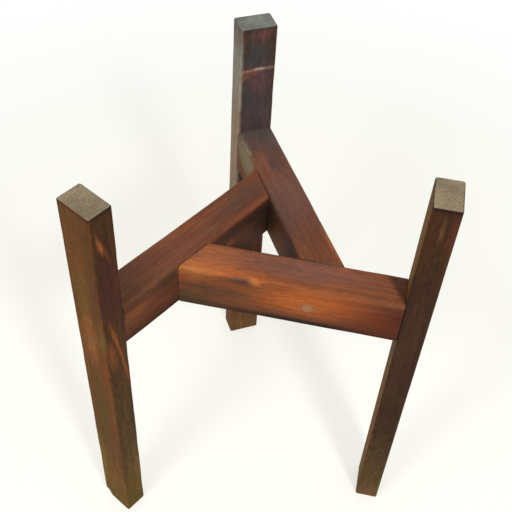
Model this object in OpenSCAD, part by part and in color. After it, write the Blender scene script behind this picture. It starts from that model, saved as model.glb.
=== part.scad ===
// Three-legged plant stand in stained softwood.
//
// Three rails lie at one height in a pinwheel round a three-sided gap. The slanted inner end of each
// rail butts against the side of the next rail, where one long screw holds it. The square outer end of
// each rail butts against the inner face of a leg, where two screws hold it. Every screw head lies in a
// counterbore that a round wooden plug closes flush.
//
// An arm is a rail with its leg, screws and plugs. It is drawn along +X from the stand's axis, with
// the gap on its +Y side, and then turned round the axis. The origin is on the floor, under the middle
// of the box that holds the stand. +X is to the right, +Y is to the back and +Z is up.

/* [Legs] */
// Height of each leg
leg_h = 475; // [420:5:600]
// Thickness of a leg, along its rail
leg_t = 25; // [20:1:32]
// Width of a leg, across its rail
leg_w = 38; // [34:1:50]
// Radius of the eased edges of a leg
leg_ease = 2; // [0.5:0.5:4]

/* [Rails] */
// Height of the rails' top faces, where the pot stands
seat_h = 350; // [200:5:390]
// Depth of a rail, from top to bottom
rail_d = 52; // [42:1:60]
// Width of a rail, from side to side
rail_w = 38; // [30:1:45]
// Radius of the rounded long edges of a rail
rail_round = 4; // [1:0.5:12]

/* [Layout] */
// Radius of the largest circle that fits in the gap between the rails
gap_r = 24.5; // [12:0.5:35]
// Distance from the stand's axis to the inner face of the right leg
reach_right = 145; // [135:1:200]
// Distance from the stand's axis to the inner face of the back leg
reach_back = 146; // [135:1:200]
// Distance from the stand's axis to the inner face of the left leg
reach_left = 153; // [135:1:200]

/* [Screws] */
// Length of a screw, from the top of its head to its point
screw_l = 60; // [50:1:65]
// Outer diameter of the thread
thread_d = 5; // [4:0.5:6]
// Diameter at the root of the thread
root_d = 3.4; // [2.6:0.2:3.6]
// Diameter of the plain shank
shank_d = 3.8; // [3.2:0.2:4]
// Length of the threaded part, with the point
thread_l = 36; // [24:1:40]
// Distance from one thread ridge to the next
thread_pitch = 2.5; // [2:0.5:4]
// Length of the tapered point
point_l = 5; // [3:1:8]
// Diameter of the countersunk head
head_d = 9.6; // [8:0.2:10]
// Height of the straight rim of the head
head_rim = 0.6; // [0.2:0.2:1]
// Width across the cross-shaped drive recess
drive_w = 4.6; // [3:0.2:6]
// Width of each slot of the drive recess
drive_slot = 1.2; // [0.8:0.2:1.6]
// Depth of the drive recess
drive_depth = 2; // [1:0.2:2.4]
// Distance between the two screws in a leg
leg_screw_spacing = 28; // [18:1:30]
// Distance of the screw in a rail's side from the corner of the gap
side_screw_inset = 16; // [12:1:18]

/* [Plugs] */
// Diameter of a plug
plug_d = 10; // [10:0.5:14]
// Length of a plug
plug_l = 8; // [5:1:10]
// Bevel round the inner end of a plug
plug_bevel = 0.6; // [0.2:0.2:1]

/* [Clearances] */
// Gap all round a plug in its counterbore
plug_clearance = 0.05; // [0.02:0.01:0.2]
// Gap all round a screw where it passes freely through the first piece of timber
screw_clearance = 0.25; // [0.1:0.05:0.5]

/* [Hidden] */
$fn = 48;
// How far a cutting shape runs past the face that it opens
overrun = 1;

// The arms by name, with the angle and the reach of each
ARMS = ["right", "back", "left"];
arm_turn = 360 / len(ARMS);
reaches = [reach_right, reach_back, reach_left];

// Angle in each corner of the gap, between the sides of two neighbouring rails
corner_angle = 180 - arm_turn;

// Places along and across an arm
rail_y = -(gap_r + rail_w / 2);
rail_mid_h = seat_h - rail_d / 2;
gap_corner_x = gap_r / tan(corner_angle / 2);
bevel_run = rail_w / tan(corner_angle);
side_screw_x = gap_corner_x + side_screw_inset;
leg_screw_heights = [rail_mid_h + leg_screw_spacing / 2, rail_mid_h - leg_screw_spacing / 2];

// Screw and bore radii
head_r = head_d / 2;
shank_r = shank_d / 2;
thread_r = thread_d / 2;
root_r = root_d / 2;
clear_r = thread_r + screw_clearance;
counterbore_r = plug_d / 2 + plug_clearance;
plain_l = screw_l - thread_l;
ridge_count = floor((thread_l - point_l) / thread_pitch);
ridges_end = plain_l + ridge_count * thread_pitch;

// The middle of the box round the legs, seen from above: the eased corners of all legs give its sides
leg_corner_centres = [
    for (arm = [0 : len(ARMS) - 1], along = [leg_ease, leg_t - leg_ease], side = [-1, 1])
        turned([reaches[arm] + along, rail_y + side * (leg_w / 2 - leg_ease)], arm * arm_turn)
];
corner_xs = [for (p = leg_corner_centres) p.x];
corner_ys = [for (p = leg_corner_centres) p.y];
box_middle = [(min(corner_xs) + max(corner_xs)) / 2, (min(corner_ys) + max(corner_ys)) / 2, 0];

// Colours
LEG_COLOUR = "#4b2c1f";
RAIL_COLOUR = "#6b3d28";
PLUG_COLOUR = "#8a7258";
SCREW_COLOUR = "#b9b7ae";

LEG_SCREW_PLACES = ["upper", "lower"];

// A point in plan, turned round the stand's axis
function turned(p, angle) = [
    p.x * cos(angle) - p.y * sin(angle),
    p.x * sin(angle) + p.y * cos(angle)
];

// ---- Shared shapes ----

// Rectangle centred on its own origin, with round corners
module round_rectangle(x, y, r) {
    square([x - 2 * r, y], center = true);
    square([x, y - 2 * r], center = true);
    for (side_x = [-1, 1], side_y = [-1, 1])
        translate([side_x * (x / 2 - r), side_y * (y / 2 - r)])
            circle(r = r);
}

// Upright post on the floor, with every edge eased
module eased_post(t, w, h, r) {
    intersection() {
        linear_extrude(height = h)
            round_rectangle(t, w, r);
        translate([0, w / 2, h / 2])
            rotate([90, 0, 0])
                linear_extrude(height = w)
                    round_rectangle(t, h, r);
        translate([-t / 2, 0, h / 2])
            rotate([90, 0, 90])
                linear_extrude(height = t)
                    round_rectangle(w, h, r);
    }
}

// Solid screw along Z, with the top of its head at zero and its point down, ridges in place of a helix
module screw_body() {
    ridges = [
        for (i = [0 : ridge_count - 1]) each [
            [root_r, -(plain_l + i * thread_pitch)],
            [thread_r, -(plain_l + (i + 0.5) * thread_pitch)]
        ]
    ];
    outline = [
        [0, 0],
        [head_r, 0],
        [head_r, -head_rim],
        [shank_r, -(head_rim + head_r - shank_r)],
        [shank_r, -plain_l],
        each ridges,
        [root_r, -ridges_end],
        [0, -screw_l]
    ];
    rotate_extrude()
        polygon(outline);
}

// Screw with a cross-shaped drive recess in its head
module screw() {
    color(SCREW_COLOUR)
        difference() {
            screw_body();
            for (angle = [0, 90])
                rotate([0, 0, angle])
                    translate([-drive_w / 2, -drive_slot / 2, -drive_depth])
                        cube([drive_w, drive_slot, drive_depth + overrun]);
        }
}

// What a screw needs in the first timber, which is cover thick under the head: counterbore, countersink, clear hole
module screw_way(cover) {
    outline = [
        [0, plug_l + overrun],
        [counterbore_r, plug_l + overrun],
        [counterbore_r, 0],
        [head_r, 0],
        [head_r, -head_rim],
        [clear_r, -(head_rim + head_r - clear_r)],
        [clear_r, -(cover + overrun)],
        [0, -(cover + overrun)]
    ];
    rotate_extrude()
        polygon(outline);
}

// Round plug that stands on the top of the screw head and ends flush with the timber
module plug() {
    plug_r = plug_d / 2;
    outline = [
        [0, 0],
        [plug_r - plug_bevel, 0],
        [plug_r, plug_bevel],
        [plug_r, plug_l],
        [0, plug_l]
    ];
    color(PLUG_COLOUR)
        rotate_extrude()
            polygon(outline);
}

// ---- Places ----

// Turns an arm's shapes to their place in the stand
module on_arm(arm) {
    translate(-box_middle)
        rotate([0, 0, arm * arm_turn])
            children();
}

// Puts a screw's shapes in the leg, with the head towards the leg's outer face
module at_leg_screw(arm, height) {
    translate([reaches[arm] + leg_t - plug_l, rail_y, height])
        rotate([0, 90, 0])
            children();
}

// Puts a screw's shapes in the rail's side, with the head towards the face that looks away from the gap
module at_side_screw() {
    translate([side_screw_x, -(gap_r + rail_w) + plug_l, rail_mid_h])
        rotate([90, 0, 0])
            children();
}

// ---- Sub-parts ----

// Rail with a slanted inner end and a square outer end
module rail(arm) {
    length_past_slant = reaches[arm] + gap_corner_x + bevel_run;
    color(RAIL_COLOUR)
        on_arm(arm)
            difference() {
                intersection() {
                    translate([-(gap_corner_x + bevel_run), rail_y, rail_mid_h])
                        rotate([90, 0, 90])
                            linear_extrude(height = length_past_slant)
                                round_rectangle(rail_w, rail_d, rail_round);
                    translate([0, 0, seat_h - rail_d])
                        linear_extrude(height = rail_d)
                            polygon([
                                [-gap_corner_x, -gap_r],
                                [-(gap_corner_x + bevel_run), -(gap_r + rail_w)],
                                [reaches[arm], -(gap_r + rail_w)],
                                [reaches[arm], -gap_r]
                            ]);
                }
                at_side_screw()
                    screw_way(rail_w - plug_l);
                rotate([0, 0, -arm_turn])
                    at_side_screw()
                        screw_body();
                for (height = leg_screw_heights)
                    at_leg_screw(arm, height)
                        screw_body();
            }
}

// Upright leg at the rail's outer end
module leg(arm) {
    color(LEG_COLOUR)
        on_arm(arm)
            difference() {
                translate([reaches[arm] + leg_t / 2, rail_y, 0])
                    eased_post(leg_t, leg_w, leg_h, leg_ease);
                for (height = leg_screw_heights)
                    at_leg_screw(arm, height)
                        screw_way(leg_t - plug_l);
            }
}

// Screw that runs through the rail's side into the slanted end of the rail behind it
module side_screw(arm) {
    on_arm(arm)
        at_side_screw()
            screw();
}

// Plug over the screw in the rail's side
module side_plug(arm) {
    on_arm(arm)
        at_side_screw()
            plug();
}

// Screw that runs through the leg into the end of its rail
module leg_screw(arm, height) {
    on_arm(arm)
        at_leg_screw(arm, height)
            screw();
}

// Plug over a screw in the leg
module leg_plug(arm, height) {
    on_arm(arm)
        at_leg_screw(arm, height)
            plug();
}

// ---- Drawing ----

for (arm = [0 : len(ARMS) - 1]) {
    name = ARMS[arm];
    rail(arm);
    leg(arm);
    side_screw(arm);
    side_plug(arm);
    for (i = [0 : len(LEG_SCREW_PLACES) - 1]) {
        place = LEG_SCREW_PLACES[i];
        height = leg_screw_heights[i];
        leg_screw(arm, height);
        leg_plug(arm, height);
    }
}
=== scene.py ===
"""Looks of a three-legged plant stand in stained softwood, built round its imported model.

An arm is a rail with its leg, its screws and its plugs, and three arms lie in a pinwheel round a small
gap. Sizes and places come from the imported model. This script adds what a plain solid lacks: planed faces
that aren't quite flat, arrises eased by hand, screws with a real thread, sanded plugs, and the stain,
knots and end grain.

In an arm's frame X runs out along the rail, Y runs across it towards the gap and Z is up. A timber's own
frame has X along its grain, and its Y and Z are centred on its section. Lengths are in metres, except
where a docstring names millimetres, as a Mark's does.
"""

import logging
import math
from abc import ABC, abstractmethod
from collections.abc import Mapping, Sequence
from dataclasses import dataclass, replace
from enum import Enum

import bmesh
import bpy
from mathutils import Matrix, Vector


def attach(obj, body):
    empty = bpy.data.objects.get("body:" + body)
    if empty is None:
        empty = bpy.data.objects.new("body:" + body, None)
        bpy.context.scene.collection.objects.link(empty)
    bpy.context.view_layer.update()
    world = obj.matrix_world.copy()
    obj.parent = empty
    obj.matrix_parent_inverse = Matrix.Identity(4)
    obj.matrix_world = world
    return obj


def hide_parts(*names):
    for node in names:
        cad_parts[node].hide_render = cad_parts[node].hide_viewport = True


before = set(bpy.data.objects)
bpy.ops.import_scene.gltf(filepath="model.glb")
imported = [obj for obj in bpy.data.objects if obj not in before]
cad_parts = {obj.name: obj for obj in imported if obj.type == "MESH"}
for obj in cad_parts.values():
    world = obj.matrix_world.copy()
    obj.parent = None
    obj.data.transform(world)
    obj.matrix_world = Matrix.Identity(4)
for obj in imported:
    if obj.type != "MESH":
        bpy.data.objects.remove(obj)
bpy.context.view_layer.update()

BODY = "root"
MM = 0.001
UP = Vector((0.0, 0.0, 1.0))
# An edge that turns more than this stays sharp.
SHARP_ANGLE = math.radians(38)
# Too small to see: these keep a formula off zero, steady a rounding, and say which points are one.
TINY = 1e-9
INDEX_SLACK = 1e-6
POLE_MERGE = 1e-6
DOUBLE_MERGE = 1e-7
SLIVER = 1e-8

Triple = tuple[float, float, float]

log = logging.getLogger("plant_stand")


# ---- Node trees ----


class Expr:
    """A number or vector in a node tree, so that a formula can be written as a formula."""

    def __init__(self, tree: bpy.types.NodeTree, socket: bpy.types.NodeSocket) -> None:
        """Wraps one output socket.

        Args:
            tree: The tree that holds the socket.
            socket: The output that the value comes from.
        """
        self.tree = tree
        self.socket = socket

    def apply(self, operation: str, *others: "Expr | float") -> "Expr":
        """Adds a Math node that starts with this value.

        Args:
            operation: The Math node's operation.
            others: Its other operands.

        Returns:
            The node's result.
        """
        node = self.tree.nodes.new("ShaderNodeMath")
        node.operation = operation
        for socket, value in zip(node.inputs, (self, *others)):
            feed(self.tree, socket, value)
        return Expr(self.tree, node.outputs[0])

    def __add__(self, other: "Expr | float") -> "Expr":
        """Sum."""
        return self.apply("ADD", other)

    def __sub__(self, other: "Expr | float") -> "Expr":
        """Difference."""
        return self.apply("SUBTRACT", other)

    def __rsub__(self, other: float) -> "Expr":
        """Difference from a number."""
        return self.apply("MULTIPLY_ADD", -1.0, other)

    def __mul__(self, other: "Expr | float") -> "Expr":
        """Product."""
        return self.apply("MULTIPLY", other)

    def __truediv__(self, other: "Expr | float") -> "Expr":
        """Quotient."""
        return self.apply("DIVIDE", other)

    def __rtruediv__(self, other: float) -> "Expr":
        """A number divided by this value."""
        return self.apply("POWER", -1.0) * other

    def __neg__(self) -> "Expr":
        """Opposite."""
        return self.apply("MULTIPLY", -1.0)

    def __abs__(self) -> "Expr":
        """Size without the sign."""
        return self.apply("ABSOLUTE")

    __radd__ = __add__

    def at_least(self, other: "Expr | float") -> "Expr":
        """The larger of the two."""
        return self.apply("MAXIMUM", other)

    def at_most(self, other: "Expr | float") -> "Expr":
        """The smaller of the two."""
        return self.apply("MINIMUM", other)

    def split(self) -> tuple["Expr", "Expr", "Expr"]:
        """Takes a vector apart.

        Returns:
            Its three parts.
        """
        node = self.tree.nodes.new("ShaderNodeSeparateXYZ")
        feed(self.tree, node.inputs[0], self)
        return tuple(Expr(self.tree, out) for out in node.outputs)

    def vector(self, operation: str, other: "Expr | Sequence[float]") -> "Expr":
        """Adds a Vector Math node.

        Args:
            operation: The node's operation.
            other: Its second operand.

        Returns:
            The vector that it makes, or the number for DISTANCE, LENGTH and DOT_PRODUCT.
        """
        node = self.tree.nodes.new("ShaderNodeVectorMath")
        node.operation = operation
        feed(self.tree, node.inputs[0], self)
        feed(self.tree, node.inputs[1], other)
        return Expr(self.tree, next(out for out in node.outputs if out.enabled))

    def step(self, start: "Expr | float", end: "Expr | float") -> "Expr":
        """Rises smoothly from 0 to 1 as the value goes from start to end."""
        return run(self.tree, "ShaderNodeMapRange", {"Value": self, "From Min": start, "From Max": end},
                   {"interpolation_type": "SMOOTHSTEP"})


def feed(tree: bpy.types.NodeTree, socket: bpy.types.NodeSocket, value: object) -> None:
    """Links an expression to a socket, or sets the socket's own value.

    Args:
        tree: The tree that holds the socket.
        socket: The input to fill.
        value: An expression, or what the socket is set to.
    """
    if isinstance(value, Expr):
        tree.links.new(value.socket, socket)
    else:
        socket.default_value = value


def run(tree: bpy.types.NodeTree, kind: str, inputs: Mapping[str, object] | None = None,
        settings: Mapping[str, object] | None = None, output: str | int = 0) -> Expr:
    """Adds a node.

    Args:
        tree: The tree that gets the node.
        kind: The node's type.
        inputs: Its inputs by name, where any are set.
        settings: Its properties, where any are set.
        output: The output that is wanted, by name or place.

    Returns:
        That output.
    """
    node = tree.nodes.new(kind)
    for name, value in (settings or {}).items():
        setattr(node, name, value)
    for name, value in (inputs or {}).items():
        feed(tree, next(s for s in node.inputs if s.name == name and s.enabled), value)
    return Expr(tree, node.outputs[output])


def join(tree: bpy.types.NodeTree, x: Expr | float, y: Expr | float, z: Expr | float) -> Expr:
    """Makes a vector of three numbers."""
    return run(tree, "ShaderNodeCombineXYZ", {"X": x, "Y": y, "Z": z})


def diagonal(*sides: Expr) -> Expr:
    """Length of the diagonal of a box with these sides."""
    squares = [side * side for side in sides]
    return sum(squares[1:], squares[0]).apply("SQRT")


def weigh(parts: Mapping[str, Expr], weights: Mapping[str, float], base: Expr | float) -> Expr:
    """Adds parts to a base value, each times its weight.

    Args:
        parts: The parts by name.
        weights: The weight of each part that counts.
        base: The value that they are added to.

    Returns:
        The sum.
    """
    total = base
    for name, weight in weights.items():
        total = total + parts[name] * weight
    return total


def noise(place: Expr, stretch: Triple | None = None, detail: float = 2.0, output: int = 0) -> Expr:
    """Smooth noise.

    Args:
        place: Where it is read.
        stretch: How many features fit in a metre each way, or None for features one unit wide.
        detail: How many finer layers it has.
        output: 0 for one number round 0.5, or 1 for three of them.

    Returns:
        The noise.
    """
    spot = place.vector("MULTIPLY", stretch) if stretch else place
    return run(place.tree, "ShaderNodeTexNoise", {"Vector": spot, "Scale": 1.0, "Detail": detail},
               output=output)


def blend(share: Expr, first: Expr | Sequence[float], second: Expr | Sequence[float]) -> Expr:
    """Mixes two colours.

    Args:
        share: 0 for the first colour and 1 for the second.
        first: The colour at 0.
        second: The colour at 1.

    Returns:
        The mixed colour.
    """
    node = share.tree.nodes.new("ShaderNodeMix")
    node.data_type = "RGBA"
    sockets = {s.name: s for s in node.inputs if s.enabled}
    for name, value in (("Factor", share), ("A", first), ("B", second)):
        feed(share.tree, sockets[name], value)
    return Expr(share.tree, next(s for s in node.outputs if s.enabled))


def linear(colour: str) -> tuple[float, float, float, float]:
    """Turns an sRGB colour such as "#8a5030" into the linear values that a socket takes."""
    shares = [int(colour[i:i + 2], 16) / 255 for i in (1, 3, 5)]
    return (*[s / 12.92 if s <= 0.04045 else ((s + 0.055) / 1.055) ** 2.4 for s in shares], 1.0)


def new_object(name: str, data: bpy.types.ID) -> bpy.types.Object:
    """Puts a mesh, a camera or a light in the scene.

    Args:
        name: The object's name.
        data: What it shows.

    Returns:
        The object.
    """
    thing = bpy.data.objects.new(name, data)
    bpy.context.scene.collection.objects.link(thing)
    return thing


# ---- Shapes that are grown from rules ----


class ShapeTree:
    """A Geometry Nodes tree with named inputs that grows one kind of piece."""

    def __init__(self, name: str, defaults: Mapping[str, object]) -> None:
        """Makes the tree with its inputs.

        Args:
            name: The tree's name.
            defaults: The inputs by name. A value of None stands for a material.
        """
        self.tree = bpy.data.node_groups.new(name, "GeometryNodeTree")
        self.keys: dict[str, str] = {}
        kinds = {int: "NodeSocketInt", float: "NodeSocketFloat", tuple: "NodeSocketVector",
                 type(None): "NodeSocketMaterial"}
        interface = self.tree.interface
        interface.new_socket("Geometry", in_out="INPUT", socket_type="NodeSocketGeometry")
        interface.new_socket("Geometry", in_out="OUTPUT", socket_type="NodeSocketGeometry")
        for label, value in defaults.items():
            socket = interface.new_socket(label, in_out="INPUT", socket_type=kinds[type(value)])
            if value is not None:
                socket.default_value = value
            self.keys[label] = socket.identifier
        self.inlet = self.tree.nodes.new("NodeGroupInput")

    def value(self, label: str) -> Expr:
        """One of the tree's inputs."""
        return Expr(self.tree, self.inlet.outputs[label])

    def close(self, geometry: Expr) -> None:
        """Ends the tree with real geometry in its material.

        Args:
            geometry: What the rules made.
        """
        real = run(self.tree, "GeometryNodeRealizeInstances", {"Geometry": geometry})
        dressed = run(self.tree, "GeometryNodeSetMaterial",
                      {"Geometry": real, "Material": self.value("Material")})
        outlet = self.tree.nodes.new("NodeGroupOutput")
        feed(self.tree, outlet.inputs[0], dressed)

    def grow(self, piece: str, values: Mapping[str, object],
             outline: bpy.types.Mesh | None = None) -> bpy.types.Mesh:
        """Runs the tree once.

        Args:
            piece: The name for the mesh.
            values: The inputs that differ from their defaults.
            outline: The mesh that the tree starts from, if it needs one. It is removed.

        Returns:
            The plain mesh that the tree makes.
        """
        start = outline or bpy.data.meshes.new(piece)
        carrier = new_object(piece, start)
        modifier = carrier.modifiers.new(self.tree.name, "NODES")
        modifier.node_group = self.tree
        for label, value in values.items():
            modifier[self.keys[label]] = value
        graph = bpy.context.evaluated_depsgraph_get()
        mesh = bpy.data.meshes.new_from_object(carrier.evaluated_get(graph), depsgraph=graph)
        carrier.modifiers.remove(modifier)
        bpy.data.objects.remove(carrier)
        bpy.data.meshes.remove(start)
        return mesh


class TimberTree(ShapeTree):
    """Grows a length of planed timber: flat faces that wander a little, eased arrises and eased ends.

    ARC_CELLS is the number of cells from a flat face to the middle of an arris. UNDULATION and CHEW are
    the stretch of the noise in the faces and in a worn corner. The rest say where the arrises widen and
    how fast a worn corner fades.
    """

    ARC_CELLS = 3
    UNDULATION = (12.0, 60.0, 60.0)
    CHEW = (260.0, 260.0, 260.0)
    PATCHES_PER_METRE = 22.0
    PATCH_SHIFTS = (3.0, 5.0)
    PATCH_RANGE = (0.42, 0.7)
    WEAR_POWER = 1.5

    def __init__(self) -> None:
        """Writes the rules of the shape."""
        super().__init__("planed timber", {
            "Length": 0.4, "Width": 0.04, "Depth": 0.03, "Arris Radius": 0.002, "End Radius": 0.001,
            "Slant": 0.0, "Cells Along": 160, "Cells Across": 26, "Cells Deep": 20,
            "Arris Wander": 0.5, "Undulation": 0.00015, "Seed": 0.0,
            "Worn Corner": (0.0, 0.0, 0.0), "Worn Push": (0.0, 0.0, 0.0), "Worn Reach": 0.01,
            "Material": None})
        tree = self.tree
        length, width, depth = (self.value(label) for label in ("Length", "Width", "Depth"))
        ease = self.value("End Radius")
        cells = [self.value(label) for label in ("Cells Along", "Cells Across", "Cells Deep")]
        flats = [1.0 - 2.0 * self.ARC_CELLS / count for count in cells]
        cube = run(tree, "GeometryNodeMeshCube", {
            "Size": (1.0, 1.0, 1.0), "Vertices X": cells[0] + 1, "Vertices Y": cells[1] + 1,
            "Vertices Z": cells[2] + 1}, output="Mesh")
        x, y, z = run(tree, "GeometryNodeInputPosition").split()
        side_x, side_y, side_z = (part.apply("SIGN") for part in (x, y, z))
        seed = self.value("Seed")

        shift_y, shift_z = self.PATCH_SHIFTS
        along = x * length * self.PATCHES_PER_METRE + seed
        patches = noise(join(tree, along, side_y * shift_y, side_z * shift_z + seed), detail=3.0)
        wander = self.value("Arris Wander") * patches.step(*self.PATCH_RANGE)
        arris = self.value("Arris Radius") * (1.0 + wander)
        flat_y, arc_y = self.spread(y, width * 0.5, arris, flats[1])
        flat_z, arc_z = self.spread(z, depth * 0.5, arris, flats[2])
        flat_x, arc_x = self.spread(x, length * 0.5, ease, flats[0])

        reach = diagonal(arc_y, arc_z).at_least(TINY)
        rounding = arc_y.at_least(arc_z) / reach
        inset = (width * 0.5 - flat_y - arc_y).at_most(depth * 0.5 - flat_z - arc_z)
        outwards = arc_x / ease
        sidewards = (1.0 - inset / ease).at_least(0.0)
        easing = outwards.at_least(sidewards) / diagonal(outwards, sidewards).at_least(TINY)

        place = join(tree, x * length, y * width, z * depth).vector("MULTIPLY", self.UNDULATION)
        waves = noise(place.vector("ADD", join(tree, seed, seed, 0.0)))
        skin = (1.0 - inset / arris).at_least(0.0)
        sink = ease * sidewards * (1.0 - easing) + self.value("Undulation") * waves * skin

        new_x = side_x * (flat_x + ease * outwards * easing) + length * 0.5
        new_y = side_y * (flat_y + arc_y * rounding - arc_y / reach * sink)
        new_z = side_z * (flat_z + arc_z * rounding - arc_z / reach * sink)
        new_x = new_x - self.value("Slant") * (1.0 - new_x / length) * (0.5 - new_y / width)

        moved = join(tree, new_x, new_y, new_z)
        far = moved.vector("DISTANCE", self.value("Worn Corner")) / self.value("Worn Reach")
        chew = noise(moved, self.CHEW, detail=3.0) + 0.5
        wear = (1.0 - far).at_least(0.0).apply("POWER", self.WEAR_POWER) * chew
        push_x, push_y, push_z = self.value("Worn Push").split()
        worn = join(tree, new_x + push_x * wear, new_y + push_y * wear, new_z + push_z * wear)
        self.close(run(tree, "GeometryNodeSetPosition", {"Geometry": cube, "Position": worn}))

    @staticmethod
    def spread(share: Expr, half: Expr, radius: Expr, flat: Expr) -> tuple[Expr, Expr]:
        """Shares the cells between a flat face and the eighth of a circle beside it.

        Args:
            share: Place across the unit cube, from -0.5 to 0.5.
            half: Half the size of the timber in that direction.
            radius: Radius of the eased edge.
            flat: Share of the cells that the flat face gets.

        Returns:
            How far the flat part reaches from the middle, and how far the place runs into the eased part.
        """
        away = abs(share) * 2.0
        along_flat = (away / flat).at_most(1.0) * (half - radius)
        into_arc = ((away - flat) / (1.0 - flat)).at_least(0.0) * (math.pi / 4)
        return along_flat, radius * into_arc.apply("TANGENT")


class TurnedTree(ShapeTree):
    """Turns an outline round the upright axis, and raises a helical thread on a stretch of it.

    RIDGE_SLOPE is how steeply a ridge falls from its crest: at 1 the ridges touch at their roots.
    """

    RIDGE_SLOPE = 1.6

    def __init__(self) -> None:
        """Writes the rules of the shape."""
        super().__init__("turned piece", {
            "Sides": 32, "Thread Top": 0.0, "Thread End": -0.01, "Thread Pitch": 0.0025,
            "Thread Height": 0.0, "Material": None})
        tree = self.tree
        outline, sides, pitch = (self.value(label) for label in ("Geometry", "Sides", "Thread Pitch"))
        count = run(tree, "GeometryNodeAttributeDomainSize", {"Geometry": outline}, {"component": "MESH"},
                    "Point Count")
        columns = sides + 1
        grid = run(tree, "GeometryNodeMeshGrid", {
            "Size X": 1.0, "Size Y": 1.0, "Vertices X": count, "Vertices Y": columns}, output="Mesh")
        index = run(tree, "GeometryNodeInputIndex")
        row = (index / columns + INDEX_SLACK).apply("FLOOR")
        column = index - row * columns
        point = run(tree, "GeometryNodeSampleIndex", {
            "Geometry": outline, "Value": run(tree, "GeometryNodeInputPosition"), "Index": row},
            {"data_type": "FLOAT_VECTOR", "domain": "POINT"})
        radius, _, height = point.split()
        angle = column / sides * math.tau
        phase = (height / pitch + angle / math.tau).apply("FRACT")
        ridge = (1.0 - abs(phase * 2.0 - 1.0) * self.RIDGE_SLOPE).at_least(0.0)
        starts = (self.value("Thread Top") - height) / pitch
        ends = (height - self.value("Thread End")) / pitch
        radius = radius + self.value("Thread Height") * ridge * starts.at_most(ends).step(0.0, 1.0)
        turned = join(tree, radius * angle.apply("COSINE"), radius * angle.apply("SINE"), height)
        placed = run(tree, "GeometryNodeSetPosition", {"Geometry": grid, "Position": turned})
        self.close(run(tree, "GeometryNodeMergeByDistance", {"Geometry": placed, "Distance": POLE_MERGE}))

    def turn(self, piece: str, outline: Sequence[tuple[float, float]], values: Mapping[str, object],
             place: Matrix) -> bpy.types.Mesh:
        """Turns one piece.

        Args:
            piece: The name for the mesh.
            outline: Radius and height of each point, from one pole to the other.
            values: The inputs that differ from their defaults.
            place: Where the piece's own frame lies in the stand.

        Returns:
            The piece's mesh, in its place.
        """
        profile = bpy.data.meshes.new(piece + " outline")
        edges = [(i, i + 1) for i in range(len(outline) - 1)]
        profile.from_pydata([(radius, 0.0, height) for radius, height in outline], edges, [])
        mesh = self.grow(piece, values, profile)
        mesh.transform(place)
        clean(mesh)
        return mesh


def clean(mesh: bpy.types.Mesh) -> None:
    """Merges doubles, turns faces outwards and shades the mesh smooth up to its sharp edges.

    Args:
        mesh: The mesh to change.
    """
    work = bmesh.new()
    work.from_mesh(mesh)
    bmesh.ops.remove_doubles(work, verts=work.verts, dist=DOUBLE_MERGE)
    bmesh.ops.dissolve_degenerate(work, edges=work.edges, dist=SLIVER)
    bmesh.ops.recalc_face_normals(work, faces=work.faces)
    work.to_mesh(mesh)
    work.free()
    mesh.shade_smooth()
    mesh.set_sharp_from_angle(angle=SHARP_ANGLE)


def cut(mesh: bpy.types.Mesh, cutters: Sequence[bpy.types.Mesh]) -> bpy.types.Mesh:
    """Takes closed shapes away from a mesh.

    Args:
        mesh: The mesh to cut. It is removed.
        cutters: The shapes to take away. They are removed.

    Returns:
        What is left.
    """
    name = mesh.name
    base, *tools = (new_object(data.name, data) for data in (mesh, *cutters))
    for tool in tools:
        modifier = base.modifiers.new("cut", "BOOLEAN")
        modifier.operation = "DIFFERENCE"
        modifier.solver = "EXACT"
        modifier.object = tool
    graph = bpy.context.evaluated_depsgraph_get()
    result = bpy.data.meshes.new_from_object(base.evaluated_get(graph), depsgraph=graph)
    for thing in (base, *tools):
        data = thing.data
        bpy.data.objects.remove(thing)
        bpy.data.meshes.remove(data)
    result.name = name
    clean(result)
    return result


# ---- Finishes ----


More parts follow.
